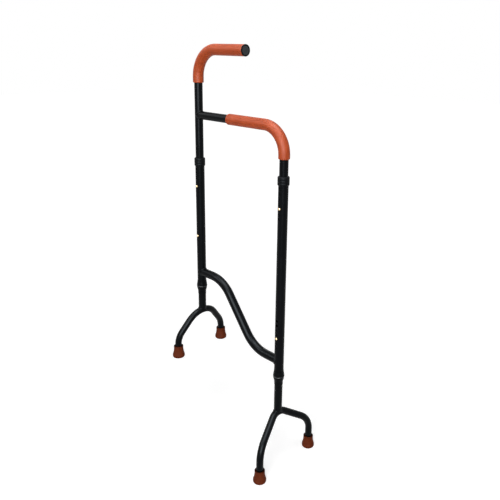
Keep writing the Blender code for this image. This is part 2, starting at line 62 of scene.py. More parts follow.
def placeCamera():
    cameraData = bpy.data.cameras.new("photoCamera")
    cameraData.lens = shot["lens"]
    cameraData.sensor_width = shot["sensor"]
    cameraData.shift_x, cameraData.shift_y = shot["shift"]
    cameraData.clip_start, cameraData.clip_end = shot["sees"]
    camera = bpy.data.objects.new("photoCamera", cameraData)
    camera.matrix_world = (Matrix.Translation(shot["place"]) @ rotation(shot["yaw"], "Z")
                           @ rotation(90 - shot["down"], "X") @ rotation(shot["roll"], "Z"))
    bpy.context.scene.collection.objects.link(camera)
    bpy.context.scene.camera = camera


placeCamera()

# shared sizes of the cane in metres, as the CAD has them
cane = {
    "farX": -0.16651, "nearX": 0.14849,    # the uprights' axes
    "tubeTop": 0.7992, "collarTop": 0.801,
    "barZ": 0.917, "handleZ": 1.087,       # the level bar's axis and the high handle's
    "handleButtons": 0.721, "handleTubeEnd": 0.678,
    "gap": 0.0003, "slide": 0.0004,        # what a seated and a sliding piece clear each other by
}
pipes = {"outer": (0.0127, 0.0115), "inner": (0.0111, 0.0099), "fork": (0.009525, 0.008025)}    # radius, bore
outerRadius, outerBore = pipes["outer"]
innerRadius, innerBore = pipes["inner"]
forkRadius, forkBore = pipes["fork"]

# each upright's heights: its lower collar's seam, its soles, its fork's crown and its leg's button, with the
# number of holes above that button; then its fork's half width, the fall and swing of its arms in degrees,
# and the bend at its crown
sides = {
    "far": {"x": cane["farX"], "seam": 0.4175, "sole": 0.214, "crown": 0.3415, "legButton": 0.576,
            "holesAbove": 2, "half": 0.082, "fall": 52, "swing": -13.5, "crownBend": 0.058},
    "near": {"x": cane["nearX"], "seam": 0.256, "sole": 0.0, "crown": 0.146, "legButton": 0.3715,
             "holesAbove": 4, "half": 0.098, "fall": 33, "swing": 20, "crownBend": 0.040},
}

# how finely shapes are made: the sides of what is round, the degrees of a step in a bend, the width of a
# rounded edge, and how near two points are merged
fine = {"tube": 56, "rod": 48, "peg": 28, "lathe": 64, "bend": 3, "edge": 0.0004, "merge": 0.000001}


# mesh tools

def upright(x, low, high):
    return [Vector((x, 0, low)), Vector((x, 0, high))]


def bentPath(corners, bends, step=fine["bend"]):
    # straight runs through the corners, with an arc of its own radius at each
    corners = [Vector(corner) for corner in corners]
    path = [corners[0]]
    for before, corner, after, bend in zip(corners, corners[1:], corners[2:], bends):
        back, ahead = (before - corner).normalized(), (after - corner).normalized()
        turn = math.pi - back.angle(ahead)
        centre = corner + (back + ahead).normalized() * bend / math.cos(turn / 2)
        start = corner + back * bend * math.tan(turn / 2) - centre
        hinge = start.cross(corner - centre).normalized()
        count = max(2, round(turn / math.radians(step)))
        path += [centre + Matrix.Rotation(turn * i / count, 3, hinge) @ start for i in range(count + 1)]
    return path + [corners[-1]]


def divided(path, most):
    # the same path, with no stretch longer than most
    points = [path[0]]
    for a, b in zip(path, path[1:]):
        parts = max(1, math.ceil((b - a).length / most - 0.001))    # a hair over most is no step more
        points += [a.lerp(b, (i + 1) / parts) for i in range(parts)]
    return points


def arc(fromAngle, toAngle, centre, radius, count=6):
    # points of an arc in a profile, its angles in degrees from outwards
    angles = [math.radians(fromAngle + (toAngle - fromAngle) * i / count) for i in range(count + 1)]
    return [(centre[0] + radius * math.cos(turn), centre[1] + radius * math.sin(turn)) for turn in angles]


def drawRing(bm, path, radii, count):
    # draws a ring of edges out along the path, and gives back its first and last edges
    steps = [(b - a).normalized() for a, b in zip(path, path[1:])]
    headings = [steps[0], *[(a + b).normalized() for a, b in zip(steps, steps[1:])], steps[-1]]
    rise = Vector((0, 0, 1)).rotation_difference(headings[0]).to_matrix().to_4x4()
    place = Matrix.Translation(path[0]) @ rise
    ring = bmesh.ops.create_circle(bm, segments=count, radius=radii[0], matrix=place)["verts"]
    edges = first = list(dict.fromkeys(edge for vert in ring for edge in vert.link_edges))
    for i in range(1, len(path)):
        drawn = bmesh.ops.extrude_edge_only(bm, edges=edges)["geom"]
        verts = {item for item in drawn if isinstance(item, bmesh.types.BMVert)}
        edges = [item for item in drawn
                 if isinstance(item, bmesh.types.BMEdge) and verts.issuperset(item.verts)]
        turn = headings[i - 1].rotation_difference(headings[i]).to_matrix().to_4x4()
        grow = Matrix.Scale(radii[i] / radii[i - 1], 4)
        move = Matrix.Translation(path[i]) @ turn @ grow @ Matrix.Translation(-path[i - 1])
        bmesh.ops.transform(bm, matrix=move, verts=list(verts))
    return first, edges


def soften(bm, width, segments=2, above=40, edges=None):
    # rounds the given edges, or every one that is sharper than above, in degrees
    if edges is None:
        sharp = math.radians(above)
        edges = [edge for edge in bm.edges if edge.is_manifold and edge.calc_face_angle() > sharp]
    bmesh.ops.bevel(bm, geom=edges, offset=width, offset_type="OFFSET", segments=segments, profile=0.5,
                    affect="EDGES", clamp_overlap=True, material=-1)


def asPiece(name, bm):
    bmesh.ops.recalc_face_normals(bm, faces=bm.faces)
    mesh = bpy.data.meshes.new(name)
    bm.to_mesh(mesh)
    bm.free()
    piece = bpy.data.objects.new(name, mesh)
    bpy.context.scene.collection.objects.link(piece)
    return piece


def drawPipe(bm, path, radius, bore):
    # the outside and the bore of a pipe, joined at both ends; gives back the outside's end edges
    outer = drawRing(bm, path, [radius] * len(path), fine["tube"])
    outside = set(bm.faces)
    inner = drawRing(bm, path, [bore] * len(path), fine["tube"])
    bmesh.ops.reverse_faces(bm, faces=[face for face in bm.faces if face not in outside])
    for around, within in zip(outer, inner):
        bmesh.ops.bridge_loops(bm, edges=around + within)
    bmesh.ops.recalc_face_normals(bm, faces=bm.faces)
    return outer


def hollowTube(name, path, radius, bore, edge=fine["edge"]):
    bm = bmesh.new()
    drawPipe(bm, path, radius, bore)
    if edge:
        soften(bm, edge)
    return asPiece(name, bm)


def solidRod(name, path, radius, count=fine["tube"]):
    bm = bmesh.new()
    for end in drawRing(bm, path, [radius] * len(path), count):
        bmesh.ops.contextual_create(bm, geom=end)
    return asPiece(name, bm)


def turned(name, profile, place=(0, 0, 0), edge=fine["edge"], steps=fine["lathe"], ring=True, above=40):
    # a profile of (radius, height), turned about Z; a ring's profile is closed
    bm = bmesh.new()
    verts = [bm.verts.new((radius, 0, height)) for radius, height in profile]
    pairs = list(zip(verts, verts[1:])) + ([(verts[-1], verts[0])] if ring else [])
    edges = [bm.edges.new(pair) for pair in pairs]
    bmesh.ops.spin(bm, geom=verts + edges, axis=(0, 0, 1), cent=(0, 0, 0), angle=2 * math.pi, steps=steps,
                   use_merge=True)
    bmesh.ops.remove_doubles(bm, verts=bm.verts, dist=fine["merge"])
    bmesh.ops.recalc_face_normals(bm, faces=bm.faces)
    if edge:
        soften(bm, edge, above=above)
    bmesh.ops.translate(bm, verts=bm.verts, vec=place)
    return asPiece(name, bm)


# cutting tools

cut = {"pegLength": 0.02, "copeReach": 0.03, "buttonHole": 0.0035}


def carve(piece, cutter):
    step = piece.modifiers.new("carve", "BOOLEAN")
    step.operation = "DIFFERENCE"
    step.object = cutter
    shaped = bpy.data.meshes.new_from_object(piece.evaluated_get(bpy.context.evaluated_depsgraph_get()))
    piece.modifiers.clear()
    piece.data = shaped
    bpy.data.objects.remove(cutter)


def drill(piece, places, radius):
    # holes in the front wall of a tube, cut by round pegs that start at its axis
    bm = bmesh.new()
    for x, z in places:
        place = Matrix.Translation((x, -cut["pegLength"] / 2, z)) @ rotation(90, "X")
        bmesh.ops.create_cone(bm, cap_ends=True, segments=fine["peg"], radius1=radius, radius2=radius,
                              depth=cut["pegLength"], matrix=place)
    carve(piece, asPiece("pegs", bm))


def cope(piece, x, z, radius):
    # fits a tube's end to the round of an upright one
    post = upright(x, z - cut["copeReach"], z + cut["copeReach"])
    carve(piece, solidRod("post", post, radius + cane["gap"]))


def softenHoles(piece, places, reach, width, above=50):
    # a small round on each hole's rim, where the paint has filled it
    bm = bmesh.new()
    bm.from_mesh(piece.data)
    edges = []
    for edge in bm.edges:
        middle = (edge.verts[0].co + edge.verts[1].co) / 2
        near = any(abs(middle.x - x) < reach and abs(middle.z - z) < reach for x, z in places)
        if near and middle.y < 0 and edge.is_manifold and edge.calc_face_angle() > math.radians(above):
            edges.append(edge)
    soften(bm, width, edges=edges)
    bm.to_mesh(piece.data)
    bm.free()


# dressing: each piece gets its body, the node that it replaces and its material


def dress(piece, look, body, *nodes, smooth=35):
    piece.data.materials.clear()
    piece.data.materials.append(looks[look])
    piece.data.shade_smooth()
    piece.data.set_sharp_from_angle(angle=math.radians(smooth))
    if isinstance(body, tuple):    # two bodies and the points between which it would bend; these are not used, and the piece is only baked in place
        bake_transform(piece)
    else:
        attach(piece, body)
    if nodes:
        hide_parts(*nodes)
    return piece


# material tools

def newLook(name):
    made = bpy.data.materials.new(name)
    made.use_nodes = True
    tree = made.node_tree
    coords = tree.nodes.new("ShaderNodeTexCoord")
    return made, tree, tree.nodes["Principled BSDF"], coords.outputs["Object"]


def stretched(tree, vector, scale):
    mapping = tree.nodes.new("ShaderNodeMapping")
    mapping.inputs["Scale"].default_value = scale
    tree.links.new(vector, mapping.inputs["Vector"])
    return mapping.outputs["Vector"]


def noise(tree, vector, scale, detail=2.0, rough=0.5):
    made = tree.nodes.new("ShaderNodeTexNoise")
    made.inputs["Scale"].default_value = scale
    made.inputs["Detail"].default_value = detail
    made.inputs["Roughness"].default_value = rough
    tree.links.new(vector, made.inputs["Vector"])
    return made.outputs["Fac"]


def cells(tree, vector, scale):
    made = tree.nodes.new("ShaderNodeTexVoronoi")
    made.inputs["Scale"].default_value = scale
    tree.links.new(vector, made.inputs["Vector"])
    return made.outputs["Distance"]


def ranged(tree, value, to=(0, 1), between=(0.3, 0.7)):
    # most of a noise lies between 0.3 and 0.7
    made = tree.nodes.new("ShaderNodeMapRange")
    for socket, number in zip(("From Min", "From Max", "To Min", "To Max"), (*between, *to)):
        made.inputs[socket].default_value = number
    tree.links.new(value, made.inputs["Value"])
    return made.outputs["Result"]


def mixed(tree, share, first, second):
    made = tree.nodes.new("ShaderNodeMix")
    made.data_type = "RGBA"
    for socket, colour in ((6, first), (7, second)):    # the sockets A and B of a colour mix
        if isinstance(colour, tuple):
            made.inputs[socket].default_value = (*colour, 1)
        else:
            tree.links.new(colour, made.inputs[socket])
    tree.links.new(share, made.inputs[0])
    return made.outputs[2]


def bumped(tree, height, depth, under=None):
    made = tree.nodes.new("ShaderNodeBump")
    made.inputs["Distance"].default_value = depth
    tree.links.new(height, made.inputs["Height"])
    if under:
        tree.links.new(under, made.inputs["Normal"])
    return made.outputs["Normal"]


def coat(tree, shader, varying, steady):
    # links what varies over the surface, and sets what is the same all over it
    for socket, output in varying.items():
        tree.links.new(output, shader.inputs[socket])
    for socket, value in steady.items():
        shader.inputs[socket].default_value = value


# finishes

coolSheen = (0.83, 0.93, 1.0, 1)    # what paint and plastic mirror is a little blue
paint = {"dark": (0.0010, 0.0011, 0.0015), "light": (0.0020, 0.0022, 0.0028),
         "rubbed": (0.008, 0.008, 0.009), "roughness": (0.19, 0.30), "peel": 0.000014, "waves": 0.00005,
         "level": 0.06}


def blackPaint():
    # baked enamel: deep black, a little orange peel, and faint rubbing along the tubes
    made, tree, shader, place = newLook("blackPaint")
    broad = noise(tree, place, scale=28, detail=3)
    peel = noise(tree, place, scale=420, detail=1)
    rubs = noise(tree, stretched(tree, place, (260, 260, 9)), scale=1, detail=3, rough=0.6)
    shade = mixed(tree, ranged(tree, broad, between=(0.35, 0.65)), paint["dark"], paint["light"])
    worn = mixed(tree, ranged(tree, rubs, to=(0, 0.5), between=(0.66, 0.80)), shade, paint["rubbed"])
    coat(tree, shader,
         {"Base Color": worn, "Roughness": ranged(tree, rubs, to=paint["roughness"], between=(0.3, 0.8)),
          "Normal": bumped(tree, peel, paint["peel"], bumped(tree, broad, paint["waves"]))},
         {"Specular IOR Level": paint["level"], "Specular Tint": coolSheen})
    return made


plastic = {"dark": (0.0012, 0.0013, 0.0016), "light": (0.0026, 0.0028, 0.0034), "grain": 0.00002,
           "satin": {"roughness": (0.34, 0.48), "level": 0.052},
           "gloss": {"roughness": (0.20, 0.30), "level": 0.05}}


def blackPlastic(name, kind):
    made, tree, shader, place = newLook(name)
    grain = noise(tree, place, scale=1500)
    broad = noise(tree, place, scale=60)
    coat(tree, shader,
         {"Base Color": mixed(tree, ranged(tree, broad), plastic["dark"], plastic["light"]),
          "Roughness": ranged(tree, grain, to=kind["roughness"]),
          "Normal": bumped(tree, grain, plastic["grain"])},
         {"Specular IOR Level": kind["level"], "Specular Tint": coolSheen})
    return made


seam = {"dark": (0.006, 0.007, 0.009), "light": (0.014, 0.016, 0.019), "roughness": (0.20, 0.32),
        "level": 0.50}


def seamGloss():
    # the polished ridge where the lower collars' halves meet
    made, tree, shader, place = newLook("seamGloss")
    rub = noise(tree, place, scale=700)
    coat(tree, shader,
         {"Base Color": mixed(tree, rub, seam["dark"], seam["light"]),
          "Roughness": ranged(tree, rub, to=seam["roughness"])},
         {"Specular IOR Level": seam["level"]})
    return made


slate = {"dark": (0.010, 0.013, 0.015), "light": (0.019, 0.023, 0.026), "roughness": (0.40, 0.55),
         "grain": 0.00002, "level": 0.20}


def capFace():
    # slate-grey moulded face, dulled by handling
    made, tree, shader, place = newLook("capFace")
    cloud = noise(tree, place, scale=160, detail=3, rough=0.6)
    grain = noise(tree, place, scale=1400)
    coat(tree, shader,
         {"Base Color": mixed(tree, ranged(tree, cloud), slate["dark"], slate["light"]),
          "Roughness": ranged(tree, grain, to=slate["roughness"]),
          "Normal": bumped(tree, grain, slate["grain"])},
         {"Specular IOR Level": slate["level"]})
    return made


# the pore colour is painted shade, laid into the pits of the pores
foam = {"dark": (0.395, 0.054, 0.008), "light": (0.465, 0.073, 0.015), "pore": (0.25, 0.030, 0.006),
        "roughness": (0.42, 0.50), "poreDepth": 0.00010, "skinDepth": 0.00004, "level": 0.15,
        "sheen": 0.03, "sheenSpread": 0.5, "sheenTint": (1.0, 0.72, 0.60, 1)}


def orangeFoam():
    # closed-cell foam with a skin: fine pores with painted shade in their pits, cloudy colour, a faint bloom
    # at glancing angles
    made, tree, shader, place = newLook("orangeFoam")
    pores = cells(tree, place, scale=1100)
    cloud = noise(tree, place, scale=45, detail=4, rough=0.6)
    skin = noise(tree, place, scale=420)
    colour = mixed(tree, ranged(tree, cloud), foam["dark"], foam["light"])
    # painted shade: the pits of the pores are darkened towards the pore colour
    pitShade = ranged(tree, pores, to=(0.35, 0), between=(0.0, 0.25))
    coat(tree, shader,
         {"Base Color": mixed(tree, pitShade, colour, foam["pore"]),
          "Roughness": ranged(tree, skin, to=foam["roughness"]),
          "Normal": bumped(tree, pores, foam["poreDepth"], bumped(tree, skin, foam["skinDepth"]))},
         {"Specular IOR Level": foam["level"], "Sheen Weight": foam["sheen"],
          "Sheen Roughness": foam["sheenSpread"], "Sheen Tint": foam["sheenTint"]})
    return made


rubber = {"dark": (0.098, 0.014, 0.002), "light": (0.142, 0.026, 0.006), "dust": (0.17, 0.05, 0.024),
          "roughness": (0.50, 0.68), "gritDepth": 0.00008, "mottleDepth": 0.00020, "level": 0.06}


def brownRubber():
    # mottled rubber with fine dust in its grit
    made, tree, shader, place = newLook("brownRubber")
    mottle = noise(tree, place, scale=120, detail=3, rough=0.6)
    grit = noise(tree, place, scale=600)
    colour = mixed(tree, ranged(tree, mottle), rubber["dark"], rubber["light"])
    dusty = ranged(tree, grit, to=(0, 0.5), between=(0.62, 0.80))
    coat(tree, shader,
         {"Base Color": mixed(tree, dusty, colour, rubber["dust"]),
          "Roughness": ranged(tree, mottle, to=rubber["roughness"]),
          "Normal": bumped(tree, grit, rubber["gritDepth"], bumped(tree, mottle, rubber["mottleDepth"]))},
         {"Specular IOR Level": rubber["level"]})
    return made


steel = {"dark": (0.50, 0.35, 0.19), "light": (0.62, 0.46, 0.27), "roughness": (0.20, 0.34),
         "lineDepth": 0.00001}


def brightSteel():
    # drawn steel with a warm plating, finely lined
    made, tree, shader, place = newLook("brightSteel")
    lines = noise(tree, stretched(tree, place, (900, 900, 60)), scale=1, detail=3)
    coat(tree, shader,
         {"Base Color": mixed(tree, ranged(tree, lines), steel["dark"], steel["light"]),
          "Roughness": ranged(tree, lines, to=steel["roughness"]),
          "Normal": bumped(tree, lines, steel["lineDepth"])},
         {"Metallic": 1})
    return made


looks = {
    "black_paint": blackPaint(),
    "black_plastic": blackPlastic("blackPlastic", plastic["satin"]),
    "orange_foam": orangeFoam(),
    "brown_rubber": brownRubber(),
    "bright_steel": brightSteel(),
    "seam_gloss": seamGloss(),
    "cap_face": capFace(),
    "gloss_plastic": blackPlastic("glossPlastic", plastic["gloss"]),
}
print("materials made")


# uprights

holes = {"pitch": 0.0127, "count": 7, "radius": 0.0038, "handleAbove": 4, "rim": 0.00025, "rimReach": 0.001}


def holeRow(x, buttonZ, above):
    return [(x, buttonZ + (above - i) * holes["pitch"]) for i in range(holes["count"])]


for side, at in sides.items():
    path = divided(upright(at["x"], at["seam"], cane["tubeTop"]), holes["pitch"])
    tube = hollowTube(f"{side}_upright_tube", path, outerRadius, outerBore)
    rows = holeRow(at["x"], cane["handleButtons"], holes["handleAbove"])
    rows += holeRow(at["x"], at["legButton"], at["holesAbove"])
    drill(tube, rows, holes["radius"])
    softenHoles(tube, rows, holes["radius"] + holes["rimReach"], holes["rim"])
    dress(tube, "black_paint", "lower_frame", f"{side}_outer_tube")


# weld beads: a rippled ring where one tube meets another

bead = {"radius": 0.0022, "ripple": 0.00022, "pitch": 0.0016, "pointsEach": 4, "sides": 10}


def weldRing(name, sideRadius, acrossRadius, pointAt, body):
    count = round(2 * math.pi * sideRadius / bead["pitch"]) * bead["pointsEach"]
    path, radii = [], []
    for i in range(count):
        angle = 2 * math.pi * i / count
        along, off = sideRadius * math.cos(angle), sideRadius * math.sin(angle)
        path.append(Vector(pointAt(along, off, math.sqrt(max(0, acrossRadius ** 2 - off ** 2)))))
        radii.append(bead["radius"] - bead["ripple"] * ((i % bead["pointsEach"]) / bead["pointsEach"]))
    bm = bmesh.new()
    first, last = drawRing(bm, path, radii, bead["sides"])
    bmesh.ops.bridge_loops(bm, edges=first + last)
    return dress(asPiece(name, bm), "black_paint", body, smooth=50)


# brace

brace = {"farZ": 0.464, "nearZ": 0.3025, "slope": 52, "bend": 0.090, "radius": 0.0120, "bore": 0.0108,
         "step": 0.008}
middleX = (cane["farX"] + cane["nearX"]) / 2
halfRun = (brace["farZ"] - brace["nearZ"]) / 2 / math.tan(math.radians(brace["slope"]))
braceCorners = [(cane["farX"], 0, brace["farZ"]), (middleX - halfRun, 0, brace["farZ"]),
                (middleX + halfRun, 0, brace["nearZ"]), (cane["nearX"], 0, brace["nearZ"])]
path = divided(bentPath(braceCorners, [brace["bend"]] * 2), brace["step"])
tube = hollowTube("brace_tube", path, brace["radius"], brace["bore"], edge=0)
for side, z, inward in (("far", brace["farZ"], 1), ("near", brace["nearZ"], -1)):
    x = sides[side]["x"]
    cope(tube, x, z, outerRadius)
    weldRing(f"{side}_brace_bead", brace["radius"], outerRadius,
             lambda along, off, height: (x + inward * height, off, z + along), "lower_frame")
dress(tube, "black_paint", "lower_frame", "s_brace")
print("uprights and brace made")


# collars: the upper ones with three fine rings, the lower ones with a seam over their inner step

topCollar = {"height": 0.0225, "radius": 0.0148, "lip": 0.0015, "shoulder": 0.0030, "shoulderSteps": 9,
             "foot": 0.0017, "rings": (0.0172, 0.0107, 0.0042), "ringOut": 0.0002, "ringHalf": 0.0005,
             "edge": 0.0002}
lowCollar = {"above": 0.020, "below": 0.022, "radius": 0.0150, "topWall": 0.0002, "endWall": 0.0003,
             "topSteps": 12, "topSwell": 1.8, "endSteps": 16, "slimAt": 0.76,
             "seamHalf": 0.0007, "seamDepth": 0.0006, "seamUp": 0.0032, "seamRing": 0.0006, "seamSteps": 12}


def upperCollar(side, x):
    collar = topCollar
    top, radius = collar["height"], collar["radius"]
    lip, bore = innerRadius + cane["slide"], outerRadius + cane["gap"]
    shoulder = (radius - collar["shoulder"], top - collar["shoulder"])
    profile = arc(90, 0, shoulder, collar["shoulder"], collar["shoulderSteps"])
    half, out = collar["ringHalf"], collar["ringOut"]
    for height in collar["rings"]:
        profile += [(radius, height + half), (radius + out, height + half / 2),
                    (radius + out, height - half / 2), (radius, height - half)]
    profile += arc(0, -90, (radius - collar["foot"], collar["foot"]), collar["foot"])
    profile += [(bore, 0), (bore, top - collar["lip"]), (lip, top - collar["lip"]), (lip, top)]
    place = (x, 0, cane["collarTop"] - top)
    made = turned(f"{side}_top_collar", profile, place, edge=collar["edge"], above=60)
    dress(made, "black_plastic", "lower_frame", f"{side}_upper_collar", smooth=50)


def lowerCollar(side, x, seamZ):
    collar = lowCollar
    radius = collar["radius"]
    bore, guide = outerRadius + cane["gap"], innerRadius + cane["slide"]
    topEnd, slimEnd = bore + collar["topWall"], guide + collar["endWall"]
    seamTop, seamFoot = collar["seamUp"] + collar["seamHalf"], collar["seamUp"] - collar["seamHalf"]
    outline = []
    for i in range(collar["topSteps"] + 1):    # swells from the top end down to the seam
        share = i / collar["topSteps"]
        swell = math.sin(share * math.pi / 2) ** collar["topSwell"]
        height = collar["above"] + (seamTop - collar["above"]) * share
        outline.append((topEnd + (radius - topEnd) * swell, height))
    outline += [(radius - collar["seamDepth"], seamTop), (radius - collar["seamDepth"], seamFoot)]
    for i in range(collar["endSteps"] + 1):    # closes in below the seam, to a slim end on the leg
        share = i / collar["endSteps"]
        swell = 0.5 + 0.5 * math.cos(min(1, share / collar["slimAt"]) * math.pi)
        height = seamFoot - (seamFoot + collar["below"]) * share
        outline.append((slimEnd + (radius - slimEnd) * swell, height))
    outline += [(guide, -collar["below"]), (guide, -cane["gap"]), (bore, -cane["gap"]),
                (bore, collar["above"])]
    made = turned(f"{side}_low_collar", outline, (x, 0, seamZ), edge=0)
    dress(made, "gloss_plastic", "lower_frame", f"{side}_lower_collar", smooth=40)
    ringCentre = (radius - collar["seamRing"] / 3, 0)    # so that two thirds of the ring's radius stand proud
    steps = collar["seamSteps"]
    ringLine = arc(0, 360 - 360 / steps, ringCentre, collar["seamRing"], steps - 1)
    ring = turned(f"{side}_seam_ring", ringLine, (x, 0, seamZ + collar["seamUp"]), edge=0)
    dress(ring, "seam_gloss", "lower_frame", smooth=60)


for side, at in sides.items():
    upperCollar(side, at["x"])
    lowerCollar(side, at["x"], at["seam"])
print("collars made")


# handles

handle = {"length": 0.1817, "bend": 0.070, "barBend": 0.066, "flange": 0.0022, "step": 0.010}
handleEnd = cane["farX"] + handle["length"] - handle["flange"] - cane["gap"]
highCorners = [(cane["farX"], 0, cane["handleTubeEnd"]), (cane["farX"], 0, cane["handleZ"]),
               (handleEnd, 0, cane["handleZ"])]
path = divided(bentPath(highCorners, [handle["bend"]]), handle["step"])
tube = hollowTube("high_handle_tube", path, innerRadius, innerBore)
drill(tube, [(cane["farX"], cane["handleButtons"])], cut["buttonHole"])
dress(tube, "black_paint", "handle_frame", "far_handle_tube")

barCorners = [(cane["farX"], 0, cane["barZ"]), (cane["nearX"], 0, cane["barZ"]),
              (cane["nearX"], 0, cane["handleTubeEnd"])]
path = divided(bentPath(barCorners, [handle["barBend"]]), handle["step"])
tube = hollowTube("low_handle_tube", path, innerRadius, innerBore)
cope(tube, cane["farX"], cane["barZ"], innerRadius)
drill(tube, [(cane["nearX"], cane["handleButtons"])], cut["buttonHole"])
dress(tube, "black_paint", "handle_frame", "front_handle_tube")
weldRing("bar_bead", innerRadius, innerRadius,
         lambda along, off, height: (cane["farX"] + height, off, cane["barZ"] + along), "handle_frame")


# foam grips, squeezed into shallow creases on the inside of their bends

grip = {"radius": 0.0143, "upperDrop": 0.085, "lowerStart": 0.121, "lowerDrop": 0.075,
        "round": 0.0019, "roundSteps": 5, "bendStep": 1.5, "step": 0.003}
# the creases fade out over their reach, a share of the grip's radius, from the inside of the bend outwards
crease = {"depth": 0.0005, "count": 8, "reach": 0.9, "gain": 1.6, "margin": 0.002, "skin": 0.0015}


def creaseSkin(bm, path, bend, centre, toward):
    # toward is -1 where the grip bends on the far side of the centre, and 1 on the near side
    least = innerRadius + crease["skin"]
    skin = [vert for vert in bm.verts if min((vert.co - point).length for point in path) > least]
    for vert in skin:
        arm = vert.co - Vector(centre)
        beyond = math.hypot(arm.x, arm.z) - (bend - grip["radius"])
        inside = max(0, 1 - beyond / (crease["reach"] * grip["radius"]))
        if inside > 0 and arm.z > crease["margin"] and toward * arm.x > crease["margin"]:
            across = math.cos(min(1, abs(vert.co.y) / grip["radius"]) * math.pi / 2)
            turn = math.atan2(arm.z, arm.x) * 4    # a bend is a quarter of a turn
            wave = 0.5 + 0.5 * math.cos(turn * crease["count"])
            vert.co -= vert.normal * crease["depth"] * wave ** 2 * min(1, inside * crease["gain"]) * across


def foamGrip(name, corners, bend, toward, node):
    path = divided(bentPath(corners, [bend], grip["bendStep"]), grip["step"])
    bm = bmesh.new()
    ends = drawPipe(bm, path, grip["radius"], innerRadius + cane["gap"])
    soften(bm, grip["round"], grip["roundSteps"], edges=[edge for end in ends for edge in end])
    bm.normal_update()
    cornerX, cornerZ = corners[1][0], corners[1][2]
    creaseSkin(bm, path, bend, (cornerX - toward * bend, 0, cornerZ - bend), toward)
    piece = dress(asPiece(name, bm), "orange_foam", "handle_frame", node, smooth=60)


upper = [(cane["farX"], 0, cane["handleZ"] - grip["upperDrop"]), (cane["farX"], 0, cane["handleZ"]),
         (handleEnd, 0, cane["handleZ"])]
lower = [(cane["farX"] + grip["lowerStart"], 0, cane["barZ"]), (cane["nearX"], 0, cane["barZ"]),
         (cane["nearX"], 0, cane["barZ"] - grip["lowerDrop"])]
foamGrip("upper_foam_grip", upper, handle["bend"], -1, "upper_grip")
foamGrip("lower_foam_grip", lower, handle["barBend"], 1, "lower_grip")


# end cap: a black rim round a slate-grey face, on a plug with an edge to hold it in the tube

cap = {"radius": 0.0145, "plug": 0.014, "plugEdge": 0.0015, "dish": 0.0010, "dishRadius": 0.0118,
       "dishSlope": 0.0005, "edge": 0.0006, "face": 0.0007, "faceGap": 0.0009,
       "faceEdge": ((0.0024, 0.0001), (0.0011, 0.0003))}    # how far in from the dish, and how far down
flange = handle["flange"]
plugRadius = innerBore - cane["gap"]
dishFloor = flange - cap["dish"]
rim = [(0, dishFloor), (cap["dishRadius"] - cap["dishSlope"], dishFloor), (cap["dishRadius"], flange),
       (cap["radius"], flange), (cap["radius"], 0), (plugRadius, 0),
       (plugRadius, cap["plugEdge"] - cap["plug"]), (plugRadius - cap["plugEdge"], -cap["plug"]),
       (0, -cap["plug"])]
faceTop = dishFloor + cap["face"]
face = [(0, faceTop)] + [(cap["dishRadius"] - inward, faceTop - down) for inward, down in cap["faceEdge"]]
face += [(cap["dishRadius"] - cap["faceGap"], dishFloor), (0, dishFloor)]
capX = cane["farX"] + handle["length"] - flange
capPlace = Matrix.Translation((capX, 0, cane["handleZ"])) @ rotation(90, "Y")
piece = turned("handle_end_plug", rim, edge=cap["edge"], ring=False, above=50)
piece.data.transform(capPlace)
dress(piece, "black_plastic", "handle_frame", "handle_end_cap")
piece = turned("handle_end_face", face, edge=0, ring=False)
piece.data.transform(capPlace)
dress(piece, "cap_face", "handle_frame")
print("handles and grips made")


# legs and forks

leg = {"aboveButton": 0.035, "step": 0.010}
fork = {"shoulder": 0.058, "washerRoom": 0.0018, "step": 0.008}
ferrule = {
    "height": 0.034, "base": 0.0175, "mouth": 0.01375, "floor": 0.006, "edge": 0.0003,
    "lip": ((0.0004, 0), (0, 0.0006), (0, 0.0028), (0.0002, 0.0034)),     # how far in, and how far down
    "flareSteps": 9, "flare": 2.2, "flareEnd": 0.0072,
    "soleEdge": ((0, 0.0020), (0.0006, 0.0006), (0.0018, 0)),             # how far in, and how high
    "rings": 3, "ringsIn": 0.0034, "ringPitch": 0.0040,
    "ring": ((0, 0), (0.0004, 0.0010), (0.0014, 0.0010), (0.0018, 0)),    # how far in, and how deep
}


def armCorners(at):
    # where the arms' lines meet, and the shoulder, from the crown
    arm = Vector((math.tan(math.radians(at["swing"])), 1, -math.tan(math.radians(at["fall"]))))
    down = Vector((arm.x, 0, arm.z)).normalized()
    meeting = -down * at["crownBend"] * (arm.length - 1)
    return meeting, meeting + arm * at["half"]


def forkPath(at):
    crown = Vector((at["x"], 0, at["crown"]))
    meeting, reach = armCorners(at)
    right = crown + reach
    left = Vector((right.x, -right.y, right.z))
    low = at["sole"] + ferrule["floor"] + fork["washerRoom"]
    corners = [(left.x, left.y, low), left, crown + meeting, right, (right.x, right.y, low)]
    return bentPath(corners, (fork["shoulder"], at["crownBend"], fork["shoulder"])), right


def ferruleShape(name, place, node, body):
    bore = forkRadius + cane["gap"]
    profile = [(ferrule["mouth"] - inward, ferrule["height"] - down) for inward, down in ferrule["lip"]]
    waistIn, waistDown = ferrule["lip"][-1]
    waist = ferrule["height"] - waistDown
    for i in range(1, ferrule["flareSteps"] + 1):
        share = i / ferrule["flareSteps"]
        flare = (ferrule["base"] - ferrule["mouth"] + waistIn) * share ** ferrule["flare"]
        profile.append((ferrule["mouth"] - waistIn + flare, waist - (waist - ferrule["flareEnd"]) * share))
    profile += [(ferrule["base"] - inward, height) for inward, height in ferrule["soleEdge"]]
    for i in range(ferrule["rings"]):    # grip rings in the sole
        outside = ferrule["base"] - ferrule["ringsIn"] - i * ferrule["ringPitch"]
        profile += [(outside - inward, deep) for inward, deep in ferrule["ring"]]
    profile += [(0, 0), (0, ferrule["floor"]), (bore, ferrule["floor"]), (bore, ferrule["height"])]
    made = turned(name, profile, place, edge=ferrule["edge"], ring=False, above=55)
    dress(made, "brown_rubber", body, node, smooth=40)


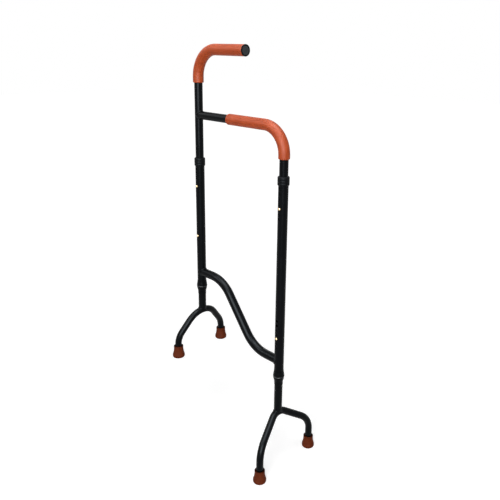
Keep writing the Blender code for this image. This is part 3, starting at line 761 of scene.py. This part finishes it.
for side, at in sides.items():
    body = f"{side}_leg"
    x, crown, bend = at["x"], at["crown"], at["crownBend"]
    forkLine, right = forkPath(at)
    tube = hollowTube(f"{side}_fork_tube", divided(forkLine, fork["step"]), forkRadius, forkBore)
    dress(tube, "black_paint", body, f"{side}_fork")
    path = divided(upright(x, crown, at["legButton"] + leg["aboveButton"]), leg["step"])
    tube = hollowTube(f"{side}_leg_pipe", path, innerRadius, innerBore)
    carve(tube, solidRod("rod", forkLine, forkRadius + cane["gap"], fine["rod"]))
    drill(tube, [(x, at["legButton"])], cut["buttonHole"])
    dress(tube, "black_paint", body, f"{side}_leg_tube")

    def overCrown(along, off, height):
        return x + off, along, crown + height + math.sqrt(bend ** 2 - along ** 2) - bend

    weldRing(f"{side}_fork_bead", innerRadius, forkRadius, overCrown, body)
    for hand, turn in (("left", -1), ("right", 1)):
        foot = (right.x, turn * right.y, at["sole"])
        ferruleShape(f"{side}_{hand}_foot", foot, f"{side}_{hand}_ferrule", body)
print("legs, forks and ferrules made")


# snap buttons, with a domed tip and a head inside the tube

button = {"radius": 0.0032, "tip": 0.0152, "dome": 0.0016, "domeSteps": 6, "headRadius": 0.0040,
          "face": 0.0086, "head": 0.0008, "edge": 0.0001, "steps": 40}
profile = [(0, button["tip"])]
for i in range(1, button["domeSteps"] + 1):
    angle = math.pi / 2 * i / button["domeSteps"]
    height = button["tip"] - button["dome"] * (1 - math.cos(angle))
    profile.append((button["radius"] * math.sin(angle), height))
headBack = button["face"] - button["head"]
profile += [(button["radius"], button["face"]), (button["headRadius"], button["face"]),
            (button["headRadius"], headBack), (0, headBack)]
for side, at in sides.items():
    for part, z in (("handle", cane["handleButtons"]), ("leg", at["legButton"])):
        node = f"{side}_{part}_button"
        piece = turned(f"{side}_{part}_snap", profile, edge=button["edge"], steps=button["steps"],
                       ring=False, above=60)
        piece.data.transform(Matrix.Translation((at["x"], 0, z)) @ rotation(90, "X"))
        dress(piece, "bright_steel", node, node)


# the folded leaf spring behind each button, which gives way as its button goes in

clip = {"width": 0.0060, "thick": 0.0008, "straight": 0.024, "frontTail": 0.0045, "backTail": 0.0020,
        "edge": 0.00015, "step": 0.0015, "foldSteps": 24, "lean": 20}


def evenly(first, last, step):
    count = max(1, round(abs(last - first) / step))
    return [first + (last - first) * i / count for i in range(count + 1)]


def springClip(side, part, x, z, up):
    # the strip's line, as places behind and above the button
    node, body = f"{side}_{part}_clip", "handle_frame" if part == "handle" else f"{side}_leg"
    low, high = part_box(node)
    front, back = low[1], high[1]
    middle, radius = (front + back) / 2, (back - front) / 2
    line = [(front, height) for height in evenly(-clip["frontTail"], clip["straight"], clip["step"])]
    for i in range(1, clip["foldSteps"]):
        angle = math.pi * i / clip["foldSteps"]
        line.append((middle - radius * math.cos(angle), clip["straight"] + radius * math.sin(angle)))
    line += [(back, height) for height in evenly(clip["straight"], clip["backTail"], clip["step"])]
    bm = bmesh.new()
    verts = [bm.verts.new((x - clip["width"] / 2, y, z + up * height)) for y, height in line]
    edges = [bm.edges.new(pair) for pair in zip(verts, verts[1:])]
    grown = bmesh.ops.extrude_edge_only(bm, edges=edges)["geom"]
    farEdge = [item for item in grown if isinstance(item, bmesh.types.BMVert)]
    bmesh.ops.translate(bm, verts=farEdge, vec=(clip["width"], 0, 0))
    bmesh.ops.recalc_face_normals(bm, faces=bm.faces)
    foremost = min(bm.faces, key=lambda face: face.calc_center_median().y)
    if foremost.normal.y > 0:    # the strip thickens towards its inside
        bmesh.ops.reverse_faces(bm, faces=bm.faces)
    bmesh.ops.solidify(bm, geom=bm.faces, thickness=clip["thick"])
    bmesh.ops.recalc_face_normals(bm, faces=bm.faces)
    soften(bm, clip["edge"], above=60)
    # the points at which the front leaf would follow the button below its end while the back leaf stays;
    # dress bakes the piece in place and does not use them
    lean = math.radians(clip["lean"])
    forward, upward = -math.cos(lean), -math.sin(lean)
    held = forward * (back - clip["thick"]) + upward * clip["backTail"]
    pushed = forward * (front + clip["thick"]) + upward * clip["frontTail"]
    start, end = [(x, forward * far, z + up * upward * far) for far in (held, pushed)]
    bending = (body, f"{side}_{part}_button", start, end)
    dress(asPiece(f"{side}_{part}_spring", bm), "bright_steel", bending, node)


for side, at in sides.items():
    springClip(side, "handle", at["x"], cane["handleButtons"], 1)
    springClip(side, "leg", at["x"], at["legButton"], -1)

# the washers inside keep their CAD meshes
for name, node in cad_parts.items():
    if name.endswith("_washer"):
        for slot in node.material_slots:
            slot.material = looks["bright_steel"]
print("buttons and springs made")


# stage, light and air

air = {"light": 0.16, "seen": 1.0}
ground = {"half": 12, "grey": (0.50, 0.50, 0.50, 1), "roughness": 0.9, "level": 0.1,
          "glow": (0.70, 0.95), "glowFrom": (0.5, 2.6)}    # its glow at those distances from the middle
aim = (0, 0, 0.55)    # where a lamp points, unless it has a target of its own
lamps = {
    "frontLamp": {"place": (1.40, -2.15, 1.25), "size": (0.9, 1.7), "power": 45, "target": (0, 0, 0.75)},
    "topLamp": {"place": (0.30, -0.45, 3.0), "size": (1.0, 1.0), "power": 26},
    "sideLamp": {"place": (2.2, 0.9, 1.5), "size": (0.4, 1.4), "power": 5},
    "backLamp": {"place": (-1.6, 1.9, 1.7), "size": (0.5, 1.4), "power": 6},
}
reflectors = {    # these show in the gloss, and add no light
    "frontReflector": {"place": (1.55, -2.25, 1.55), "size": (3.0, 1.9), "power": 200,
                       "target": (0, 0, 0.65)},
    "topReflector": {"place": (0.35, -0.5, 2.9), "size": (2.8, 2.8), "power": 230},
    "leftReflector": {"place": (-2.1, -1.3, 2.4), "size": (2.2, 1.4), "power": 18, "target": (0, 0, 1.0)},
    "braceReflector": {"place": (-1.2, -2.1, 2.2), "size": (1.3, 1.0), "power": 42, "target": (0, 0, 0.4)},
}


def areaLamp(name, place, size, power, target=aim):
    data = bpy.data.lights.new(name, "AREA")
    data.shape = "RECTANGLE"
    data.size, data.size_y = size
    data.energy = power
    lamp = bpy.data.objects.new(name, data)
    turn = (Vector(target) - Vector(place)).to_track_quat("-Z", "Y").to_matrix().to_4x4()
    lamp.matrix_world = Matrix.Translation(place) @ turn
    bpy.context.scene.collection.objects.link(lamp)
    return lamp


def seenRays(tree):
    # 1 for the camera's rays and those that mirrors and glass send on, 0 for light
    rays = tree.nodes.new("ShaderNodeLightPath")
    total = rays.outputs["Is Camera Ray"]
    for kind in ("Is Glossy Ray", "Is Transmission Ray"):
        added = tree.nodes.new("ShaderNodeMath")
        added.operation = "ADD"
        added.use_clamp = True
        tree.links.new(total, added.inputs[0])
        tree.links.new(rays.outputs[kind], added.inputs[1])
        total = added.outputs[0]
    return total


def makeAir():
    # a dim even air for the light, seen as white
    world = bpy.data.worlds.new("studioAir")
    world.use_nodes = True
    tree = world.node_tree
    background = tree.nodes["Background"]
    background.inputs["Color"].default_value = (1, 1, 1, 1)
    strength = ranged(tree, seenRays(tree), to=(air["light"], air["seen"]), between=(0, 1))
    tree.links.new(strength, background.inputs["Strength"])
    bpy.context.scene.world = world


def makeFloor():
    bm = bmesh.new()
    bmesh.ops.create_grid(bm, x_segments=1, y_segments=1, size=ground["half"])
    floor = asPiece("studioFloor", bm)
    made, tree, shader, place = newLook("paleFloor")
    away = tree.nodes.new("ShaderNodeVectorMath")    # light falls off with distance, and the glow fills in
    away.operation = "LENGTH"
    tree.links.new(place, away.inputs[0])
    glow = tree.nodes.new("ShaderNodeMath")
    glow.operation = "MULTIPLY"
    strength = ranged(tree, away.outputs["Value"], to=ground["glow"], between=ground["glowFrom"])
    tree.links.new(strength, glow.inputs[0])
    tree.links.new(seenRays(tree), glow.inputs[1])
    coat(tree, shader,
         {"Emission Strength": glow.outputs[0]},
         {"Base Color": ground["grey"], "Roughness": ground["roughness"],
          "Specular IOR Level": ground["level"], "Emission Color": (1, 1, 1, 1)})
    floor.data.materials.append(made)


makeAir()
makeFloor()
for name, lamp in lamps.items():
    areaLamp(name, **lamp)
for name, lamp in reflectors.items():
    areaLamp(name, **lamp).visible_diffuse = False
bpy.context.scene.view_settings.view_transform = "Standard"
print("stage lit")
